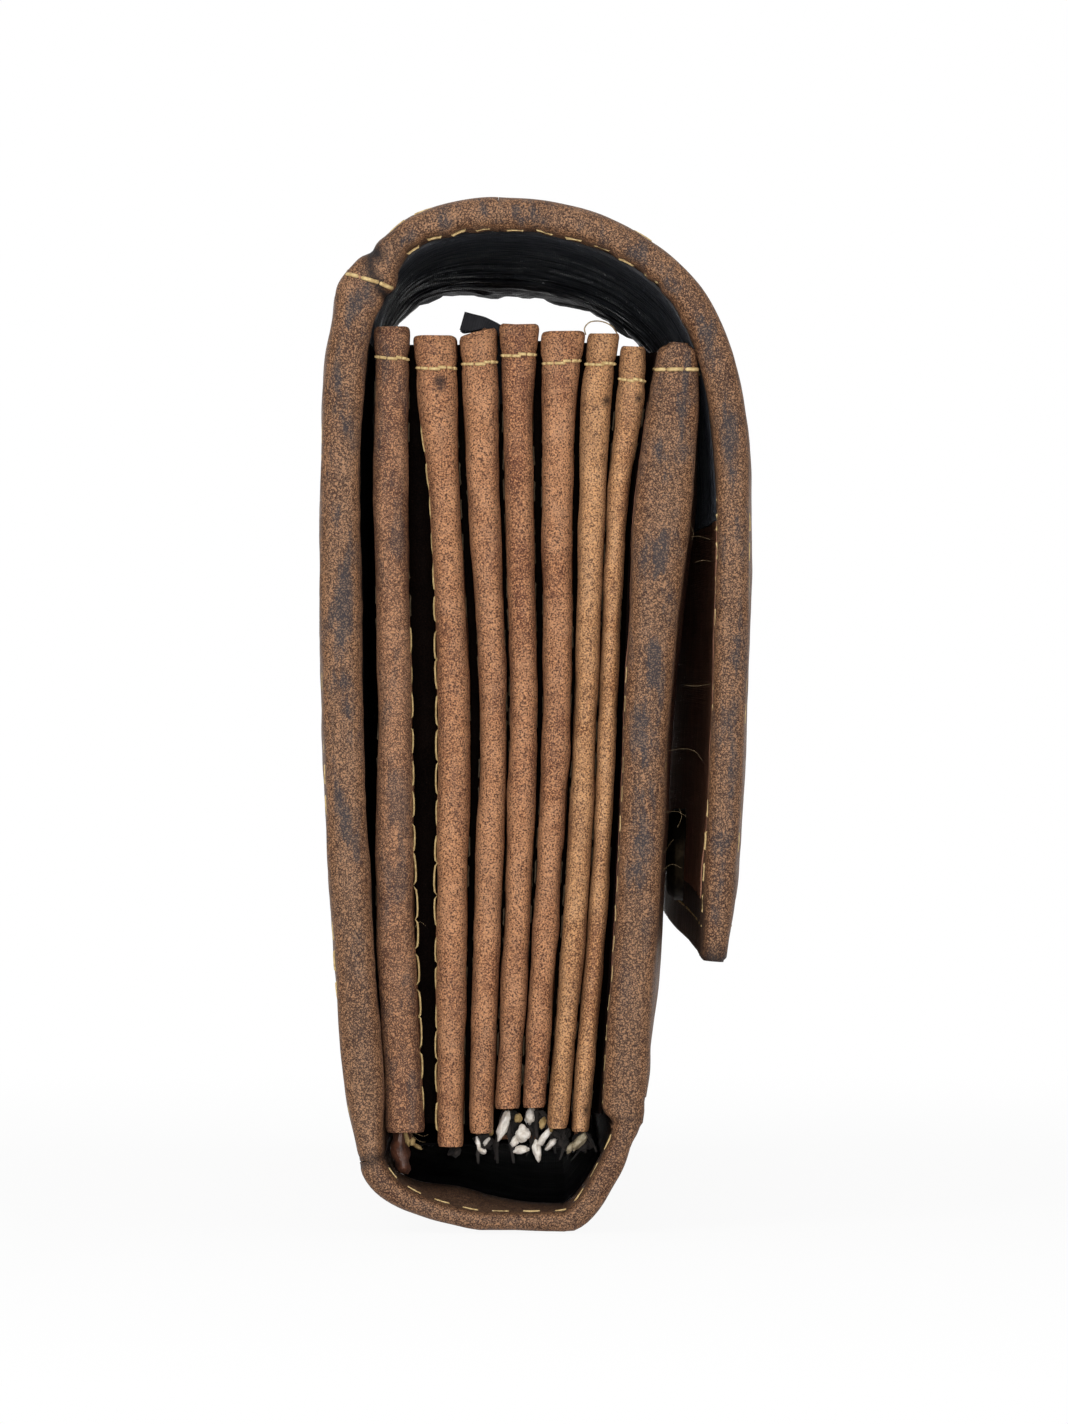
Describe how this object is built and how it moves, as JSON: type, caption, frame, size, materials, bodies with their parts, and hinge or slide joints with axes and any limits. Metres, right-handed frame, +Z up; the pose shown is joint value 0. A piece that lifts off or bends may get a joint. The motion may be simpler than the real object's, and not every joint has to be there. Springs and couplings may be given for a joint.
{
  "type": "leather accordion wallet",
  "caption": "Long leather wallet with a fold-over flap, press stud, pleated accordion leaves and a zipped coin pocket; the flap swings back as the pockets fan open.",
  "frame": {"origin": "on the ground under the middle of the closed wallet, standing on its base", "axes": "+Z up, +Y along the length away from the pleated end in the picture, +X from the back towards the hanging side of the flap"},
  "size_m": [0.0432, 0.185, 0.1037],
  "materials": {
    "cover_leather": "waxed pull-up leather, speckled and scuffed",
    "pleat_leather": "lighter speckled pull-up leather",
    "divider_leather": "thin dark leather",
    "black_cloth": "matt woven lining and tape",
    "brown_cloth": "matt woven lining",
    "board": "bonded fibre board",
    "brass": "worn antique brass"
  },
  "bodies": {
    "cover": {"back_panel": "cover_leather", "back_board": "board", "back_lining": "black_cloth", "base_panel": "cover_leather", "base_lining": "black_cloth", "pocket_floor": "black_cloth", "divider_1": "divider_leather", "pleat_near_1": "pleat_leather", "pleat_far_1": "pleat_leather", "web_near_1": "pleat_leather", "web_far_1": "pleat_leather"},
    "flap_arch": {"flap_arch": "cover_leather", "flap_arch_lining": "black_cloth"},
    "flap_front": {"flap_front": "cover_leather", "flap_front_board": "board", "flap_front_lining": "brown_cloth", "snap_cap": "brass", "snap_socket": "brass"},
    "leaf_2": {"divider_2": "divider_leather", "pleat_near_2": "pleat_leather", "pleat_far_2": "pleat_leather", "web_near_2": "pleat_leather", "web_far_2": "pleat_leather"},
    "coin_pocket": {"divider_3": "divider_leather", "divider_4": "divider_leather", "pleat_near_3": "pleat_leather", "pleat_near_4": "pleat_leather", "pleat_far_3": "pleat_leather", "pleat_far_4": "pleat_leather", "web_near_3": "pleat_leather", "web_far_3": "pleat_leather", "web_near_4": "pleat_leather", "web_far_4": "pleat_leather", "zip_tape_back": "black_cloth", "zip_tape_front": "black_cloth", "zip_coil": "black_cloth"},
    "leaf_5": {"divider_5": "divider_leather", "pleat_near_5": "pleat_leather", "pleat_far_5": "pleat_leather", "web_near_5": "pleat_leather", "web_far_5": "pleat_leather"},
    "leaf_6": {"divider_6": "divider_leather", "pleat_near_6": "pleat_leather", "pleat_far_6": "pleat_leather", "web_near_6": "pleat_leather", "web_far_6": "pleat_leather"},
    "front": {"front_panel": "cover_leather", "front_board": "board", "front_lining": "brown_cloth", "divider_7": "divider_leather", "pleat_near_7": "pleat_leather", "pleat_far_7": "pleat_leather", "snap_stud": "brass"},
    "zip_slider": {"zip_slider": "brass"},
    "zip_pull": {"zip_pull": "brass"}
  },
  "joints": [
    {"name": "flap_open", "type": "hinge", "parent": "cover", "child": "flap_arch", "pos_m": [-0.01886, 0, 0.0961], "axis": [0, -1, 0], "range_deg": [0, 180]},
    {"name": "flap_unbend", "type": "hinge", "parent": "flap_arch", "child": "flap_front", "pos_m": [0.01512, 0, 0.09646], "axis": [0, -1, 0], "range_deg": [0, 81]},
    {"name": "leaf_2_fan", "type": "hinge", "parent": "cover", "child": "leaf_2", "pos_m": [0.01097, 0, 0.0108], "axis": [0, 1, 0], "range_deg": [0, 7.3], "deforming": ["web_near_1", "web_far_1"]},
    {"name": "coin_pocket_fan", "type": "hinge", "parent": "leaf_2", "child": "coin_pocket", "pos_m": [0.01097, 0, 0.0108], "axis": [0, 1, 0], "range_deg": [0, 5.5], "deforming": ["web_near_2", "web_far_2"]},
    {"name": "leaf_5_fan", "type": "hinge", "parent": "coin_pocket", "child": "leaf_5", "pos_m": [0.01097, 0, 0.0108], "axis": [0, 1, 0], "range_deg": [0, 5.5], "deforming": ["web_near_4", "web_far_4"]},
    {"name": "leaf_6_fan", "type": "hinge", "parent": "leaf_5", "child": "leaf_6", "pos_m": [0.01097, 0, 0.0108], "axis": [0, 1, 0], "range_deg": [0, 5.5], "deforming": ["web_near_5", "web_far_5"]},
    {"name": "front_open", "type": "hinge", "parent": "cover", "child": "front", "pos_m": [0.01097, 0, 0.0108], "axis": [0, 1, 0], "range_deg": [0, 23.5]},
    {"name": "zip_slide", "type": "slide", "parent": "coin_pocket", "child": "zip_slider", "axis": [0, -1, 0], "range_m": [0, 0.137]},
    {"name": "zip_pull_lift", "type": "hinge", "parent": "zip_slider", "child": "zip_pull", "pos_m": [-0.00411, 0.0685, 0.09485], "axis": [-1, 0, 0], "range_deg": [0, 18]}
  ],
  "couplings": [
    {"joint": "flap_unbend", "follows": "flap_open", "ratio": 0.444},
    {"joint": "leaf_2_fan", "follows": "flap_open", "ratio": 0.04},
    {"joint": "coin_pocket_fan", "follows": "flap_open", "ratio": 0.03},
    {"joint": "leaf_5_fan", "follows": "flap_open", "ratio": 0.03},
    {"joint": "leaf_6_fan", "follows": "flap_open", "ratio": 0.03},
    {"joint": "front_open", "follows": "flap_open", "ratio": 0.13}
  ]
}
